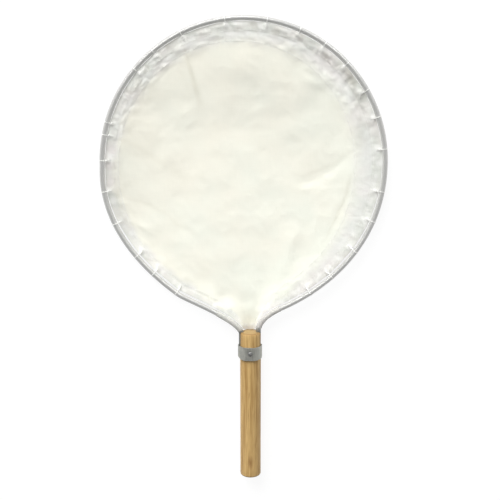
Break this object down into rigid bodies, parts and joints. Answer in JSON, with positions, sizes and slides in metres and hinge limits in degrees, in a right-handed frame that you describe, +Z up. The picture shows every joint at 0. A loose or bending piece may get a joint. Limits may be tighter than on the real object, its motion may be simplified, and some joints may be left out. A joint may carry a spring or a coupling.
{
  "type": "culling net",
  "caption": "Shallow white cloth sorting net: a bent rod hoop strapped to a round wooden handle, its bag lashed on with thread.",
  "frame": {"origin": "on the surface that the net lies on, under the middle of its length and width", "axes": "+Y from the handle towards the far side of the hoop, +Z up, with the bag underneath the hoop"},
  "size_m": [0.3012, 0.498, 0.0274],
  "materials": {
    "rod": "polished steel rod with fine draw marks",
    "wood": "sanded softwood dowel, thin clear varnish",
    "galvanised": "dull galvanised sheet, lightly scratched",
    "nail": "bright steel, worn",
    "white_cloth": "fine translucent white mesh",
    "cream_cloth": "fine cream mesh, wrinkled",
    "thread": "white twisted thread"
  },
  "bodies": {
    "root": {"hoop": "rod", "handle": "wood", "strap": "galvanised", "strap_nail": "nail", "hem": "white_cloth", "bag_wall": "white_cloth", "bag_bottom": "cream_cloth", "lashing_01": "thread", "lashing_02": "thread", "lashing_03": "thread", "lashing_04": "thread", "lashing_05": "thread", "lashing_06": "thread", "lashing_07": "thread", "lashing_08": "thread", "lashing_09": "thread", "lashing_10": "thread", "lashing_11": "thread", "lashing_12": "thread", "lashing_13": "thread", "lashing_14": "thread", "lashing_15": "thread", "lashing_16": "thread", "lashing_17": "thread", "lashing_18": "thread", "lashing_19": "thread", "lashing_20": "thread", "lashing_21": "thread", "lashing_22": "thread", "lashing_23": "thread", "lashing_24": "thread"}
  },
  "joints": []
}
